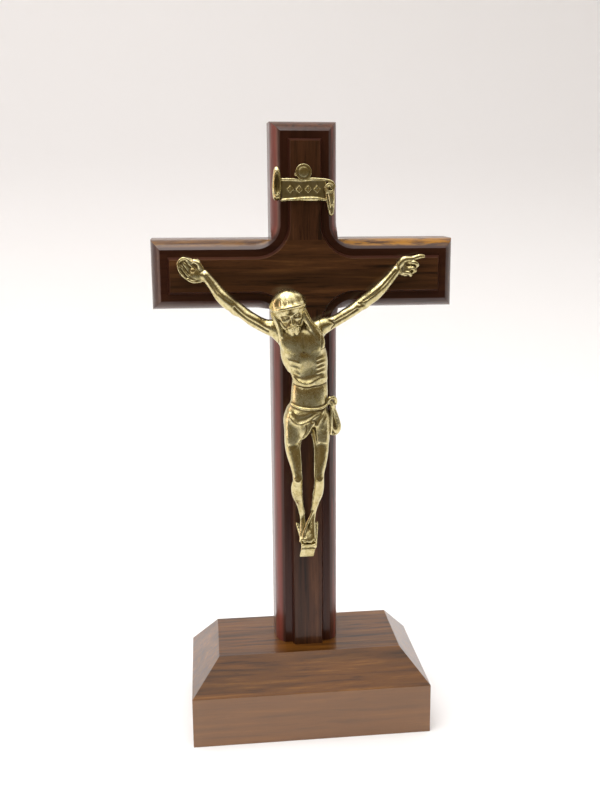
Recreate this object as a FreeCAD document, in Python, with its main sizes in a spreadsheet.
import FreeCAD, Part

import os

import Sketcher
from FreeCAD import Placement, Rotation, Vector

# A standing altar cross. Frame: origin at the bottom centre of the base, +Z up, the front faces -Y and
# +X points to the viewer's right. Lengths are in millimetres. "Left" and "right" are the viewer's.

DIMENSIONS = {
    # base block: a straight band below, four slanted faces above it, a flat top
    "base_length": 99.0,
    "base_depth": 60.0,
    "base_height": 34.5,
    "band_height": 21.0,
    "bevel_side": 11.5,
    "bevel_front": 11.0,
    # the two beams, half-lapped where they cross; the crossbeam keeps its front half there
    "beam_width": 26.4,
    "beam_thickness": 24.0,
    "cross_height": 250.0,
    "arm_bottom": 177.4,
    "arm_height": 27.4,
    "arm_span": 121.0,
    # routed edge: raised panel, slanted step down to a ledge, then a rounded outer edge
    "rout_margin": 7.5,
    "rout_step": 3.0,
    "step_slant": 1.0,
    "round_width": 3.7,
    "round_depth": 8.0,
    "bearing_radius": 6.35,
    # stub tenon under the upright, and the wood screw that draws it into the base from below
    "tenon_width": 16.0,
    "tenon_thickness": 14.0,
    "tenon_length": 10.0,
    "screw_radius": 1.75,
    "screw_length": 30.0,
    "screw_point": 4.0,
    "screw_head_radius": 4.2,
    "screw_head_height": 3.0,
    "counterbore_radius": 5.2,
    "counterbore_depth": 10.0,
    # figure: the places of its joints with the cross and with its own arms
    "left_seam_x": -11.7,
    "right_seam_x": 4.6,
    "shoulder_z": 169.8,
    "shoulder_y": -16.8,
    "arm_peg_radius": 1.3,
    "arm_peg_length": 3.0,
    "body_dowel_radius": 1.2,
    "body_dowel_z": 152.0,
    "body_dowel_inset": 5.0,
    "body_dowel_depth": 8.0,
    # nails through the palms
    "left_nail_x": -44.2,
    "right_nail_x": 40.7,
    "hand_nail_z": 193.5,
    "nail_radius": 0.6,
    "nail_head_radius": 1.0,
    "nail_head_height": 0.5,
    "nail_grip": 2.4,
    "nail_depth": 8.0,
    # foot rest: a sloping plate bent down at the front, with a web behind that takes two pins
    "rest_x": -0.7,
    "rest_back_width": 10.9,
    "rest_front_width": 5.7,
    "rest_depth": 10.0,
    "rest_bottom": 77.8,
    "rest_front_top": 82.7,
    "rest_back_top": 89.6,
    "rest_back_under": 88.1,
    "rest_front_under": 82.2,
    "rest_flange": 1.4,
    "rest_web_width": 4.2,
    "rest_pin_radius": 0.9,
    "rest_pin_z": 80.0,
    "rest_pin_pitch": 4.5,
    "rest_pin_inset": 4.0,
    "rest_pin_depth": 7.0,
    # title scroll with rolled ends, and the tack that holds it by its lug
    "title_left": -9.6,
    "title_right": 8.0,
    "title_bottom": 219.4,
    "title_top": 228.1,
    "title_thickness": 1.5,
    "title_rim_width": 1.1,
    "title_rim_height": 0.6,
    "left_roll_x": -11.2,
    "left_roll_top": 232.6,
    "left_roll_radius": 1.95,
    "right_roll_x": 8.9,
    "right_roll_top": 226.5,
    "right_roll_bottom": 213.7,
    "right_roll_radius": 2.3,
    "roll_end_radius": 0.7,
    "roll_stand_off": 2.0,
    "tack_x": -0.9,
    "tack_z": 230.7,
    "tack_head_radius": 3.1,
    "tack_head_height": 1.2,
    "tack_radius": 0.7,
    "tack_depth": 8.0,
    "lug_radius": 2.7,
    "lug_stem_width": 3.6,
}

# The figure's limbs are lofts through parallel ellipses. Each row is one section: its name, its centre
# x, y, z, and its half-sizes. Torso, cloth, legs and hair have level sections, half-sizes along x and y.
LEVEL_SECTIONS = {
    "torso": [
        ("hips", -0.3, -17.4, 136.0, 9.2, 5.3),
        ("belly", 0.3, -17.4, 142.0, 8.4, 4.9),
        ("waist", 0.8, -17.0, 148.5, 7.2, 4.4),
        ("ribs", -0.7, -17.2, 155.5, 8.7, 5.4),
        ("chest", -2.2, -17.4, 164.0, 9.6, 5.7),
        ("shoulders", -3.6, -16.8, 171.5, 7.6, 4.2),
        ("collar", -4.6, -17.0, 174.2, 3.6, 2.8),
    ],
    "loincloth": [
        ("hem", -0.7, -18.8, 126.0, 9.6, 5.9),
        ("fold", -0.8, -18.3, 132.0, 10.0, 6.2),
        ("girdle", -0.3, -17.6, 138.0, 9.7, 5.8),
        ("top", 0.0, -17.5, 140.6, 9.0, 5.3),
    ],
    "neck": [
        ("root", -4.6, -17.4, 170.0, 3.2, 2.8),
        ("nape", -6.6, -19.8, 177.0, 3.4, 3.2),
    ],
    "head": [
        ("beard", -6.6, -23.6, 169.4, 2.0, 1.9),
        ("jaw", -7.3, -23.0, 173.0, 5.0, 4.8),
        ("temples", -8.4, -22.2, 178.6, 6.6, 6.4),
        ("crown", -9.0, -21.6, 183.6, 4.9, 4.9),
        ("top", -9.2, -21.4, 186.0, 1.8, 1.8),
    ],
    "left_hair": [
        ("end", -11.2, -18.6, 166.0, 1.4, 1.4),
        ("lock", -13.0, -19.4, 172.5, 1.9, 2.4),
        ("root", -11.6, -20.6, 179.5, 2.0, 2.8),
    ],
    "right_hair": [
        ("end", 2.8, -19.6, 164.8, 1.5, 1.4),
        ("lock", -0.2, -20.2, 170.5, 2.4, 2.2),
        ("root", -4.2, -20.8, 178.0, 2.2, 2.8),
    ],
    "left_leg": [
        ("toes", -2.6, -20.6, 83.6, 1.9, 1.5),
        ("foot", -2.8, -17.4, 87.6, 1.8, 3.0),
        ("ankle", -3.0, -16.6, 94.0, 1.4, 1.6),
        ("shin", -4.0, -18.2, 100.0, 1.8, 2.1),
        ("calf", -5.1, -20.6, 107.0, 2.6, 3.0),
        ("knee", -5.9, -22.8, 112.5, 2.3, 2.7),
        ("thigh", -6.2, -20.4, 121.0, 3.6, 4.2),
        ("hip", -5.2, -18.2, 130.0, 4.2, 4.8),
    ],
    "right_leg": [
        ("toes", 0.4, -21.0, 83.4, 2.1, 1.5),
        ("foot", 0.7, -18.2, 87.8, 2.1, 3.2),
        ("ankle", 1.2, -18.0, 94.0, 1.5, 1.7),
        ("shin", 2.0, -18.7, 100.0, 1.8, 2.1),
        ("calf", 2.8, -20.6, 107.0, 2.5, 3.0),
        ("knee", 3.1, -22.8, 112.3, 2.3, 2.7),
        ("thigh", 3.8, -20.4, 121.0, 3.5, 4.2),
        ("hip", 4.2, -18.2, 130.0, 4.2, 4.8),
    ],
    "cloth_tail": [
        ("end", 10.6, -16.2, 127.4, 2.2, 1.0),
        ("fall", 10.2, -16.4, 134.0, 1.8, 1.5),
        ("knot", 9.0, -16.6, 141.4, 1.8, 1.8),
    ],
}

# The arms have upright sections, square to the x axis, half-sizes along y and z.
UPRIGHT_SECTIONS = {
    "left_arm": [
        ("seam", -11.7, -16.8, 169.8, 3.0, 3.6),
        ("upper", -18.0, -16.6, 173.4, 2.7, 3.1),
        ("elbow", -27.6, -15.8, 179.6, 2.4, 2.8),
        ("forearm", -33.0, -15.4, 184.4, 2.2, 2.9),
        ("wrist", -39.5, -14.2, 191.2, 1.8, 2.6),
        ("palm", -44.2, -13.4, 194.0, 1.7, 4.2),
        ("fingers", -47.6, -13.4, 195.0, 1.5, 3.2),
        ("tips", -49.8, -13.4, 195.6, 0.9, 1.6),
    ],
    "right_arm": [
        ("seam", 4.6, -16.8, 169.8, 3.0, 3.6),
        ("upper", 12.0, -16.6, 174.4, 2.7, 3.1),
        ("elbow", 21.2, -15.8, 180.2, 2.4, 2.8),
        ("forearm", 28.0, -15.4, 186.0, 2.2, 2.9),
        ("wrist", 35.8, -14.2, 192.0, 1.8, 2.8),
        ("palm", 40.7, -13.4, 193.6, 1.7, 4.5),
        ("knuckles", 44.0, -13.4, 195.4, 1.6, 3.4),
        ("fingertip", 47.6, -13.3, 198.2, 0.8, 0.9),
    ],
}

COLUMNS = ("x", "y", "z", "first", "second")  # the numbers of one section, in the order of the tables

CLEAR = 1.0  # how far a cutter passes outside the piece
TOLERANCE = 1e-6  # a volume or length too small to mean anything
REST_PINS = 2  # pins behind the foot rest
HEAD_RIM_SHARE = 0.5  # how much of a nail head's height is its upright rim
HEAD_FLAT_SHARE = 0.6  # how wide the flat on a nail head is, against the head

doc = FreeCAD.newDocument("altar_cross")
sheet = doc.addObject("Spreadsheet::Sheet", "dims")


class Size:
    """A length from the sheet, or a sum of them: its number, and the formula that keeps it bound."""

    def __init__(self, value, formula):
        self.value = value
        self.formula = formula

    def __add__(self, other):
        other = as_size(other)
        return Size(self.value + other.value, f"({self.formula} + {other.formula})")

    def __sub__(self, other):
        other = as_size(other)
        return Size(self.value - other.value, f"({self.formula} - {other.formula})")

    def __mul__(self, factor):
        return Size(self.value * factor, f"({self.formula} * {factor})")

    def __truediv__(self, divisor):
        return self * (1.0 / divisor)

    def __neg__(self):
        return self * -1.0


def as_size(number):
    if isinstance(number, Size):
        return number
    return Size(float(number), f"({float(number)})")


def fill_sheet():
    """Writes every driving dimension into the sheet and returns the names bound to them."""
    rows = dict(DIMENSIONS)
    for sections in (LEVEL_SECTIONS, UPRIGHT_SECTIONS):
        for limb, table in sections.items():
            for section, *numbers in table:
                for column, number in zip(COLUMNS, numbers):
                    rows[f"{limb}_{section}_{column}"] = number
    for row, (alias, number) in enumerate(rows.items(), start=1):
        sheet.set(f"A{row}", alias)
        sheet.set(f"B{row}", str(number))
        sheet.setAlias(f"B{row}", alias)
    doc.recompute()
    return {alias: Size(number, f"dims.{alias}") for alias, number in rows.items()}


D = fill_sheet()

FRONT = -D["beam_thickness"] / 2
BACK = D["beam_thickness"] / 2
HALF_WIDTH = D["beam_width"] / 2
HALF_SPAN = D["arm_span"] / 2
ARM_TOP = D["arm_bottom"] + D["arm_height"]
REST_NOSE = FRONT - D["rest_depth"]
BEARING_X = HALF_WIDTH + D["bearing_radius"]
UPPER_BEARING_Z = ARM_TOP + D["bearing_radius"]
LOWER_BEARING_Z = D["arm_bottom"] - D["bearing_radius"]


def bind(target, path, size):
    target.setExpression(path, as_size(size).formula)


def bind_place(target, x=0, y=0, z=0, path="Placement"):
    for axis, size in zip("xyz", (x, y, z)):
        bind(target, f"{path}.Base.{axis}", size)


def new_body(name):
    body = doc.addObject("PartDesign::Body", name)
    body.Label = name
    return body


def origin_plane(body, role):
    return next(item for item in body.Origin.OriginFeatures if item.Role == role)


def new_sketch(body, name, role, offset=(0, 0, 0)):
    """An empty sketch on one of the body's own origin planes, moved by offset in that plane's axes."""
    sketch = body.newObject("Sketcher::SketchObject", name)
    sketch.AttachmentSupport = [(origin_plane(body, role), "")]
    sketch.MapMode = "FlatFace"
    bind_place(sketch, *offset, path="AttachmentOffset")
    return sketch


def pin_point(sketch, line, end, point):
    """Holds one end of a line at a point given by two sizes, measured from the sketch's origin."""
    for kind, size in zip(("DistanceX", "DistanceY"), point):
        size = as_size(size)
        number = sketch.addConstraint(Sketcher.Constraint(kind, -1, 1, line, end, size.value))
        bind(sketch, f"Constraints[{number}]", size)


def draw_outline(sketch, points, round_after=None, round_centre=None):
    """A closed outline of straight lines. The line after point round_after is an arc about round_centre,
    of which only the second coordinate is needed: the arc's ends settle the other."""
    vectors = [Vector(as_size(u).value, as_size(v).value, 0) for u, v in points]
    first = sketch.GeometryCount
    count = len(points)
    for index, start in enumerate(vectors):
        end = vectors[(index + 1) % count]
        if index == round_after:
            centre = Vector(*[as_size(part).value for part in round_centre], 0)
            radius = (start - centre).Length
            rays = (start - centre, end - centre)
            turns = [Vector(1, 0, 0).getAngle(ray) * (1 if ray.y >= 0 else -1) for ray in rays]
            clockwise = rays[0].cross(rays[1]).z < 0
            if clockwise:
                turns.reverse()
            circle = Part.Circle(centre, Vector(0, 0, 1), radius)
            sketch.addGeometry(Part.ArcOfCircle(circle, turns[0], turns[1]))
            arc_ends = (2, 1) if clockwise else (1, 2)
        else:
            sketch.addGeometry(Part.LineSegment(start, end))
    for index in range(count):
        this_line = first + index
        next_line = first + (index + 1) % count
        end = arc_ends[1] if index == round_after else 2
        start = arc_ends[0] if (index + 1) % count == round_after else 1
        sketch.addConstraint(Sketcher.Constraint("Coincident", this_line, end, next_line, start))
    for index, point in enumerate(points):
        if index != round_after:
            pin_point(sketch, first + index, 1, point)
    if round_after is not None:
        previous = first + (round_after - 1) % count
        pin_point(sketch, previous, 2, points[round_after])
    return first


def rectangle(sketch, low_u, high_u, low_v, high_v):
    draw_outline(sketch, [(low_u, low_v), (high_u, low_v), (high_u, high_v), (low_u, high_v)])


def draw_circle(sketch, centre, radius):
    u, v = (as_size(part) for part in centre)
    number = sketch.addGeometry(Part.Circle(Vector(u.value, v.value, 0), Vector(0, 0, 1), radius.value))
    for kind, size in (("DistanceX", u), ("DistanceY", v)):
        held = sketch.addConstraint(Sketcher.Constraint(kind, -1, 1, number, 3, size.value))
        bind(sketch, f"Constraints[{held}]", size)
    held = sketch.addConstraint(Sketcher.Constraint("Radius", number, radius.value))
    bind(sketch, f"Constraints[{held}]", radius)


def pad(body, sketch, length, reverse=False):
    feature = body.newObject("PartDesign::Pad", f"{sketch.Name}_pad")
    feature.Profile = sketch
    feature.Reversed = reverse
    bind(feature, "Length", length)
    doc.recompute()
    return feature


def pocket(body, sketch, length, forward=False):
    """Removes the sketch's area behind its plane, or ahead of it along the plane's normal if forward."""
    before = body.Shape.Volume
    feature = body.newObject("PartDesign::Pocket", f"{sketch.Name}_cut")
    feature.Profile = sketch
    feature.Reversed = forward
    bind(feature, "Length", length)
    doc.recompute()
    if before - body.Shape.Volume < TOLERANCE:
        raise RuntimeError(f"{feature.Name} removes nothing")
    return feature


def groove(body, sketch):
    """Removes the sketch's area turned all the way about the sketch's own vertical axis."""
    before = body.Shape.Volume
    feature = body.newObject("PartDesign::Groove", f"{sketch.Name}_cut")
    feature.Profile = sketch
    feature.ReferenceAxis = (sketch, ["V_Axis"])
    feature.Angle = 360
    doc.recompute()
    if before - body.Shape.Volume < TOLERANCE:
        raise RuntimeError(f"{feature.Name} removes nothing")
    return feature


def turned(name, outline, round_after=None, round_centre=None):
    """A body turned from a half outline of (radius, height) points about its own Z axis."""
    body = new_body(name)
    sketch = new_sketch(body, f"{name}_outline", "XZ_Plane")
    draw_outline(sketch, outline, round_after, round_centre)
    feature = body.newObject("PartDesign::Revolution", f"{name}_turn")
    feature.Profile = sketch
    feature.ReferenceAxis = (sketch, ["V_Axis"])
    feature.Angle = 360
    doc.recompute()
    return body


def point_into_wood(body, x, z, y=FRONT):
    """Turns a body made along +Z so that its head faces the front, and sets its seat at (x, y, z)."""
    body.Placement = Placement(Vector(0, 0, 0), Rotation(Vector(1, 0, 0), 90))
    bind_place(body, x, y, z)
    doc.recompute()


# ---------------------------------------------------------------- routed edge


def draw_routing(sketch, place):
    """The area that the router removes along one edge. place turns (inset from the edge, depth from
    the front face) into the sketch's two coordinates."""
    step = D["rout_step"]
    wall = step + D["round_depth"]
    outline = [
        (D["rout_margin"], as_size(0)),
        (D["rout_margin"] - D["step_slant"], step),
        (D["round_width"], step),
        (as_size(0), wall),
        (as_size(-CLEAR), wall),
        (as_size(-CLEAR), as_size(-CLEAR)),
        (D["rout_margin"], as_size(-CLEAR)),
    ]
    # the rounded edge is an arc that runs into the side wall without a corner
    drop = D["round_depth"].value
    radius = (drop * drop + D["round_width"].value ** 2) / (2 * D["round_width"].value)
    centre = place(as_size(radius), wall)
    first = draw_outline(sketch, [place(*point) for point in outline], 2, centre)
    level = place(as_size(0), wall)
    held = 0 if abs(level[0].value - centre[0].value) < TOLERANCE else 1
    kind = ("DistanceX", "DistanceY")[held]
    number = sketch.addConstraint(Sketcher.Constraint(kind, -1, 1, first + 2, 3, level[held].value))
    bind(sketch, f"Constraints[{number}]", level[held])


def rout_corners(body):
    """At each inner corner the cutter's bearing rolls around, so the routing turns about its centre."""
    for side, x in (("left", -BEARING_X), ("right", BEARING_X)):
        inward = 1 if side == "left" else -1
        for level, z in (("lower", LOWER_BEARING_Z), ("upper", UPPER_BEARING_Z)):
            sketch = new_sketch(body, f"{body.Name}_{level}_{side}_corner", "XY_Plane", (x, 0, z))
            draw_routing(sketch, lambda e, t: ((D["bearing_radius"] + e) * inward, FRONT + t))
            groove(body, sketch)


def drill(body, name, x, z, radius, depth, face=FRONT):
    """A round blind hole into the wood, straight back from its front face."""
    sketch = new_sketch(body, name, "XZ_Plane", (0, 0, -face))
    draw_circle(sketch, (x, z), radius)
    return pocket(body, sketch, depth)


# ---------------------------------------------------------------- wooden pieces


def make_base():
    body = new_body("base_block")
    half_length = D["base_length"] / 2
    half_depth = D["base_depth"] / 2
    band = new_sketch(body, "base_band", "XY_Plane")
    rectangle(band, -half_length, half_length, -half_depth, half_depth)
    pad(body, band, D["band_height"])
    foot = new_sketch(body, "bevel_foot", "XY_Plane", (0, 0, D["band_height"]))
    rectangle(foot, -half_length, half_length, -half_depth, half_depth)
    top = new_sketch(body, "bevel_top", "XY_Plane", (0, 0, D["base_height"]))
    top_u = half_length - D["bevel_side"]
    top_v = half_depth - D["bevel_front"]
    rectangle(top, -top_u, top_u, -top_v, top_v)
    bevels = body.newObject("PartDesign::AdditiveLoft", "base_bevels")
    bevels.Profile = foot
    bevels.Sections = [top]
    bevels.Ruled = True
    doc.recompute()
    mortise = new_sketch(body, "mortise", "XY_Plane", (0, 0, D["base_height"]))
    half_width = D["tenon_width"] / 2
    half_thickness = D["tenon_thickness"] / 2
    rectangle(mortise, -half_width, half_width, -half_thickness, half_thickness)
    pocket(body, mortise, D["tenon_length"])
    counterbore = new_sketch(body, "counterbore", "XY_Plane")
    draw_circle(counterbore, (0, 0), D["counterbore_radius"])
    pocket(body, counterbore, D["counterbore_depth"], forward=True)
    shank = new_sketch(body, "screw_way", "XY_Plane")
    draw_circle(shank, (0, 0), D["screw_radius"])
    pocket(body, shank, D["base_height"], forward=True)
    return body


def make_upright():
    body = new_body("upright_routed")
    blank = new_sketch(body, "upright_blank", "XY_Plane", (0, 0, D["base_height"]))
    rectangle(blank, -HALF_WIDTH, HALF_WIDTH, FRONT, BACK)
    pad(body, blank, D["cross_height"] - D["base_height"])
    tenon = new_sketch(body, "tenon", "XY_Plane", (0, 0, D["base_height"]))
    half_tenon = D["tenon_width"] / 2
    half_thickness = D["tenon_thickness"] / 2
    rectangle(tenon, -half_tenon, half_tenon, -half_thickness, half_thickness)
    pad(body, tenon, D["tenon_length"], reverse=True)
    lap = new_sketch(body, "upright_lap", "XY_Plane", (0, 0, D["arm_bottom"]))
    rectangle(lap, -HALF_WIDTH - CLEAR, HALF_WIDTH + CLEAR, FRONT - CLEAR, 0)
    pocket(body, lap, D["arm_height"], forward=True)
    for level, low, high in (
        ("lower", D["base_height"], LOWER_BEARING_Z),
        ("upper", UPPER_BEARING_Z, D["cross_height"] + CLEAR),
    ):
        for side, inward in (("left", 1), ("right", -1)):
            sketch = new_sketch(body, f"{level}_{side}_edge", "XY_Plane", (0, 0, low))
            draw_routing(sketch, lambda e, t: ((e - HALF_WIDTH) * inward, FRONT + t))
            pocket(body, sketch, high - low, forward=True)
    top = new_sketch(body, "top_edge", "YZ_Plane", (0, 0, -HALF_WIDTH - CLEAR))
    draw_routing(top, lambda e, t: (FRONT + t, D["cross_height"] - e))
    pocket(body, top, D["beam_width"] + 2 * CLEAR, forward=True)
    rout_corners(body)
    drill(body, "tack_hole", D["tack_x"], D["tack_z"], D["tack_radius"], D["tack_depth"])
    drill(body, "body_dowel_hole", 0, D["body_dowel_z"], D["body_dowel_radius"], D["body_dowel_depth"])
    for level in range(REST_PINS):
        height = D["rest_pin_z"] + D["rest_pin_pitch"] * level
        name = f"rest_pin_hole_{level}"
        drill(body, name, D["rest_x"], height, D["rest_pin_radius"], D["rest_pin_depth"])
    return body


def make_crossbeam():
    body = new_body("cross_beam")
    blank = new_sketch(body, "crossbeam_blank", "XY_Plane", (0, 0, D["arm_bottom"]))
    rectangle(blank, -HALF_SPAN, HALF_SPAN, FRONT, BACK)
    pad(body, blank, D["arm_height"])
    lap = new_sketch(body, "crossbeam_lap", "XY_Plane", (0, 0, D["arm_bottom"]))
    rectangle(lap, -HALF_WIDTH, HALF_WIDTH, 0, BACK + CLEAR)
    pocket(body, lap, D["arm_height"], forward=True)
    run = HALF_SPAN - BEARING_X + CLEAR
    for side, start in (("left", -HALF_SPAN - CLEAR), ("right", BEARING_X)):
        for level, edge, inward in (("lower", D["arm_bottom"], 1), ("upper", ARM_TOP, -1)):
            sketch = new_sketch(body, f"{side}_{level}_run", "YZ_Plane", (0, 0, start))
            draw_routing(sketch, lambda e, t: (FRONT + t, edge + e * inward))
            pocket(body, sketch, run, forward=True)
    for side, edge, inward in (("left", -HALF_SPAN, 1), ("right", HALF_SPAN, -1)):
        sketch = new_sketch(body, f"{side}_end_edge", "XY_Plane", (0, 0, D["arm_bottom"] - CLEAR))
        draw_routing(sketch, lambda e, t: (edge + e * inward, FRONT + t))
        pocket(body, sketch, D["arm_height"] + 2 * CLEAR, forward=True)
    rout_corners(body)
    for side in ("left", "right"):
        nail_x = D[f"{side}_nail_x"]
        drill(body, f"{side}_nail_hole", nail_x, D["hand_nail_z"], D["nail_radius"], D["nail_depth"])
    return body


# ---------------------------------------------------------------- fasteners


def make_screw():
    """Wood screw, head down in the counterbore, point up in the tenon."""
    head_z = D["counterbore_depth"] - D["screw_head_height"]
    tip_z = D["counterbore_depth"] + D["screw_length"] - D["screw_head_height"]
    return turned(
        "base_screw",
        [
            (0, head_z),
            (D["screw_head_radius"], head_z),
            (D["screw_head_radius"], D["counterbore_depth"]),
            (D["screw_radius"], D["counterbore_depth"]),
            (D["screw_radius"], tip_z - D["screw_point"]),
            (0, tip_z),
        ],
    )


def nail_outline(radius, depth, head_radius, head_height, grip):
    """Half outline of a nail along Z: its point is below, and zero is the wood's face."""
    return [
        (0, -depth),
        (radius, -depth),
        (radius, grip),
        (head_radius, grip),
        (head_radius, grip + head_height * HEAD_RIM_SHARE),
        (head_radius * HEAD_FLAT_SHARE, grip + head_height),
        (0, grip + head_height),
    ]


def make_hand_nail(side):
    outline = nail_outline(
        D["nail_radius"], D["nail_depth"], D["nail_head_radius"], D["nail_head_height"], D["nail_grip"]
    )
    body = turned(f"{side}_hand_nail", outline)
    point_into_wood(body, D[f"{side}_nail_x"], D["hand_nail_z"])
    return body


def make_tack():
    outline = nail_outline(
        D["tack_radius"],
        D["tack_depth"],
        D["tack_head_radius"],
        D["tack_head_height"],
        D["title_thickness"],
    )
    body = turned("title_tack", outline)
    point_into_wood(body, D["tack_x"], D["tack_z"])
    return body


def pin(name, x, z, radius, inset, depth):
    """A plain round pin across the front face: inset into the casting, depth into the wood."""
    cylinder = doc.addObject("Part::Cylinder", name)
    bind(cylinder, "Radius", radius)
    bind(cylinder, "Height", inset + depth)
    cylinder.Placement = Placement(Vector(0, 0, 0), Rotation(Vector(1, 0, 0), 90))
    bind_place(cylinder, x, FRONT + depth, z)
    return cylinder


def make_body_dowel():
    dowel = pin(
        "body_dowel",
        0,
        D["body_dowel_z"],
        D["body_dowel_radius"],
        D["body_dowel_inset"],
        D["body_dowel_depth"],
    )
    dowel.Label = "body_dowel"
    return dowel


def make_rest_pins():
    pins = doc.addObject("Part::Compound", "foot_rest_pins")
    pins.Label = "foot_rest_pins"
    pins.Links = [
        pin(
            f"rest_pin_{level}",
            D["rest_x"],
            D["rest_pin_z"] + D["rest_pin_pitch"] * level,
            D["rest_pin_radius"],
            D["rest_pin_inset"],
            D["rest_pin_depth"],
        )
        for level in range(REST_PINS)
    ]
    return pins


# ---------------------------------------------------------------- castings


def fuse(name, parts):
    whole = doc.addObject("Part::MultiFuse", name)
    whole.Shapes = parts
    doc.recompute()
    return whole


def cut(name, base, tool):
    """base with tool taken out of it; the two must really overlap."""
    whole = doc.addObject("Part::Cut", name)
    whole.Base = base
    whole.Tool = tool
    doc.recompute()
    if base.Shape.Volume - whole.Shape.Volume < TOLERANCE:
        raise RuntimeError(f"{name} removes nothing")
    return whole


def loft(name, table, upright=False):
    """A closed loft through the ellipses of one limb's table, each bound to its row of the sheet."""
    sections = []
    for section, *_ in table:
        x, y, z, first, second = (D[f"{name}_{section}_{column}"] for column in COLUMNS)
        ellipse = doc.addObject("Part::Ellipse", f"{name}_{section}")
        wide = first.value >= second.value
        bind(ellipse, "MajorRadius", first if wide else second)
        bind(ellipse, "MinorRadius", second if wide else first)
        # an ellipse lies in its own XY plane, its long axis along X
        spin = Rotation(Vector(0, 0, 1), 0 if wide else 90)
        stand = Rotation()
        if upright:
            stand = Rotation(Vector(0, 1, 0), Vector(0, 0, 1), Vector(1, 0, 0), "ZXY")
        ellipse.Placement = Placement(Vector(0, 0, 0), stand.multiply(spin))
        bind_place(ellipse, x, y, z)
        sections.append(ellipse)
    limb = doc.addObject("Part::Loft", name)
    limb.Sections = sections
    limb.Solid = True
    # a low degree keeps the surface from swinging past its sections
    limb.MaxDegree = 2
    doc.recompute()
    return limb


def make_wood_space():
    """The space behind the panel's face, which no casting may enter."""
    block = doc.addObject("Part::Box", "wood_space")
    bind(block, "Length", D["arm_span"])
    bind(block, "Width", D["beam_thickness"])
    bind(block, "Height", D["cross_height"])
    bind_place(block, -HALF_SPAN, FRONT, 0)
    return block


def rest_wedge(name):
    """The whole space under the foot rest's top: it tapers in plan and slopes down to the front."""
    body = new_body(name)
    half_back = D["rest_back_width"] / 2
    half_front = D["rest_front_width"] / 2
    plan = new_sketch(body, f"{name}_plan", "XY_Plane", (0, 0, D["rest_bottom"]))
    draw_outline(
        plan,
        [
            (D["rest_x"] - half_back, FRONT),
            (D["rest_x"] - half_front, REST_NOSE),
            (D["rest_x"] + half_front, REST_NOSE),
            (D["rest_x"] + half_back, FRONT),
        ],
    )
    pad(body, plan, D["rest_back_top"] - D["rest_bottom"])
    slope = new_sketch(body, f"{name}_slope", "YZ_Plane", (0, 0, -D["rest_back_width"]))
    draw_outline(
        slope,
        [
            (FRONT, D["rest_back_top"]),
            (REST_NOSE, D["rest_front_top"]),
            (REST_NOSE - CLEAR, D["rest_front_top"]),
            (REST_NOSE - CLEAR, D["rest_back_top"] + CLEAR),
            (FRONT, D["rest_back_top"] + CLEAR),
        ],
    )
    pocket(body, slope, D["rest_back_width"] * 2, forward=True)
    return body


def make_foot_rest(pins):
    """The wedge hollowed out on both sides of its web: a plate, a front flange and the web are left."""
    body = rest_wedge("foot_rest_blank")
    half_web = D["rest_web_width"] / 2
    inner_nose = REST_NOSE + D["rest_flange"]
    for side, start, length in (
        ("left", D["rest_x"] - D["rest_back_width"], D["rest_back_width"] - half_web),
        ("right", D["rest_x"] + half_web, D["rest_back_width"]),
    ):
        hollow = new_sketch(body, f"rest_{side}_hollow", "YZ_Plane", (0, 0, start))
        draw_outline(
            hollow,
            [
                (FRONT, D["rest_bottom"] - CLEAR),
                (FRONT, D["rest_back_under"]),
                (inner_nose, D["rest_front_under"]),
                (inner_nose, D["rest_bottom"] - CLEAR),
            ],
        )
        pocket(body, hollow, length, forward=True)
    rest = cut("foot_rest", body, pins)
    rest.Label = "foot_rest"
    return rest


def arm_peg(side):
    """The round peg on an arm casting that seats in the shoulder."""
    peg = doc.addObject("Part::Cylinder", f"{side}_arm_peg")
    inward = 90 if side == "left" else -90
    bind(peg, "Radius", D["arm_peg_radius"])
    bind(peg, "Height", D["arm_peg_length"])
    peg.Placement = Placement(Vector(0, 0, 0), Rotation(Vector(0, 1, 0), inward))
    bind_place(peg, D[f"{side}_seam_x"], D["shoulder_y"], D["shoulder_z"])
    return peg


def make_figure(dowel, nails, wood_space):
    """The body and the two arms, which stand clear of the foot rest, the wood and each other."""
    limbs = [loft(name, table) for name, table in LEVEL_SECTIONS.items()]
    flesh = fuse("figure_flesh", limbs)
    pegs = {side: arm_peg(side) for side in ("left", "right")}
    trimmed = cut("figure_on_rest", flesh, rest_wedge("rest_space"))
    flat_back = cut("figure_flat_back", trimmed, wood_space)
    socketed = cut("figure_sockets", flat_back, fuse("sockets", [dowel] + list(pegs.values())))
    socketed.Label = "corpus_body"
    castings = [socketed]
    for side in ("left", "right"):
        arm = loft(f"{side}_arm", UPRIGHT_SECTIONS[f"{side}_arm"], upright=True)
        flat = cut(f"{side}_arm_flat_back", arm, wood_space)
        seated = cut(f"{side}_arm_seated", flat, fuse(f"{side}_arm_against", [flesh, nails[side]]))
        casting = fuse(f"{side}_arm_with_peg", [seated, pegs[side]])
        casting.Label = f"corpus_{side}_arm"
        castings.append(casting)
    return castings


def make_roll(name, x, low, high, low_radius, high_radius):
    """A rolled end of the scroll: a tapered round bar, upright beside the plate."""
    roll = doc.addObject("Part::Cone", name)
    bind(roll, "Radius1", low_radius)
    bind(roll, "Radius2", high_radius)
    bind(roll, "Height", high - low)
    bind_place(roll, x, FRONT - D["roll_stand_off"], low)
    return roll


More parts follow.
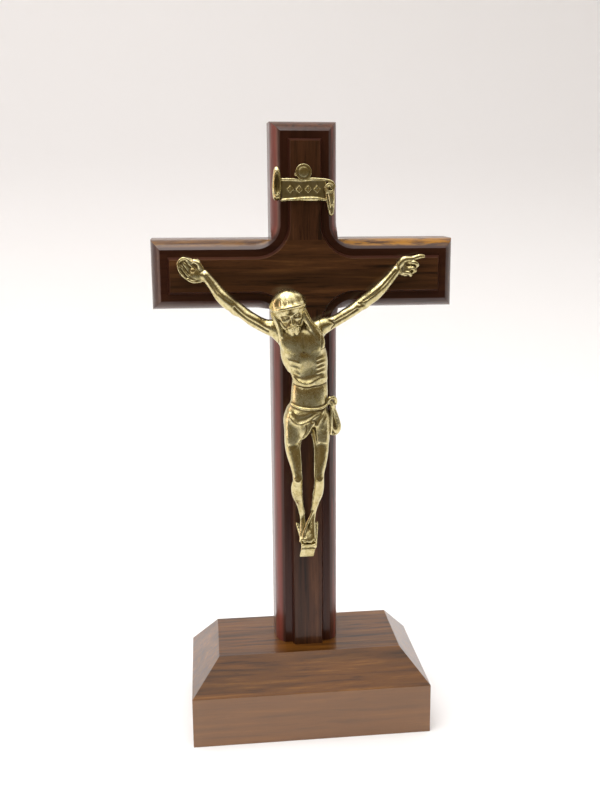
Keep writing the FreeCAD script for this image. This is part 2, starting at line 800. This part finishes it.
def make_title(tack):
    body = new_body("title_plate")
    plate = new_sketch(body, "title_outline", "XZ_Plane", (0, 0, -FRONT))
    rectangle(plate, D["title_left"], D["title_right"], D["title_bottom"], D["title_top"])
    pad(body, plate, D["title_thickness"])
    lug = new_sketch(body, "title_lug", "XZ_Plane", (0, 0, -FRONT))
    draw_circle(lug, (D["tack_x"], D["tack_z"]), D["lug_radius"])
    pad(body, lug, D["title_thickness"])
    stem = new_sketch(body, "lug_stem", "XZ_Plane", (0, 0, -FRONT))
    half_stem = D["lug_stem_width"] / 2
    rectangle(stem, D["tack_x"] - half_stem, D["tack_x"] + half_stem, D["title_bottom"], D["tack_z"])
    pad(body, stem, D["title_thickness"])
    for name, low in (("lower", D["title_bottom"]), ("upper", D["title_top"] - D["title_rim_width"])):
        rim = new_sketch(body, f"{name}_rim", "XZ_Plane", (0, 0, -FRONT))
        rectangle(rim, D["title_left"], D["title_right"], low, low + D["title_rim_width"])
        pad(body, rim, D["title_thickness"] + D["title_rim_height"])
    left = make_roll(
        "left_roll",
        D["left_roll_x"],
        D["title_bottom"],
        D["left_roll_top"],
        D["left_roll_radius"],
        D["roll_end_radius"],
    )
    right = make_roll(
        "right_roll",
        D["right_roll_x"],
        D["right_roll_bottom"],
        D["right_roll_top"],
        D["roll_end_radius"],
        D["right_roll_radius"],
    )
    title = cut("title_drilled", fuse("title_whole", [body, left, right]), tack)
    title.Label = "title_scroll"
    return title


# ---------------------------------------------------------------- assembly


def build():
    """Makes every piece and returns them, one per node."""
    screw = make_screw()
    base = make_base()
    upright = cut("upright_with_pilot", make_upright(), screw)
    upright.Label = "upright_beam"
    nails = {side: make_hand_nail(side) for side in ("left", "right")}
    tack = make_tack()
    dowel = make_body_dowel()
    pins = make_rest_pins()
    rest = make_foot_rest(pins)
    castings = make_figure(dowel, nails, make_wood_space())
    title = make_title(tack)
    wooden = [base, upright, make_crossbeam()]
    return wooden + [screw] + castings + [dowel, rest, pins] + list(nails.values()) + [title, tack]


def check_document():
    """Stops if any object failed to compute, which a recompute alone doesn't say."""
    for item in doc.Objects:
        if {"Invalid", "Error"} & set(item.State):
            raise RuntimeError(f"{item.Name} failed: {item.State}")


def write(pieces):
    os.makedirs("parts", exist_ok=True)
    for piece in pieces:
        shape = piece.Shape
        if shape.isNull() or not shape.isValid() or not shape.Solids:
            raise RuntimeError(f"{piece.Label} is not a valid solid")
        shape.exportStep(f"parts/{piece.Label}.step")
        box = shape.optimalBoundingBox(False, False)
        print(
            f"{piece.Label:20s} solids {len(shape.Solids)} volume {shape.Volume:10.1f}"
            f"  x {box.XMin:7.2f} {box.XMax:7.2f}  y {box.YMin:7.2f} {box.YMax:7.2f}"
            f"  z {box.ZMin:7.2f} {box.ZMax:7.2f}"
        )


pieces = build()
doc.recompute()
check_document()
write(pieces)
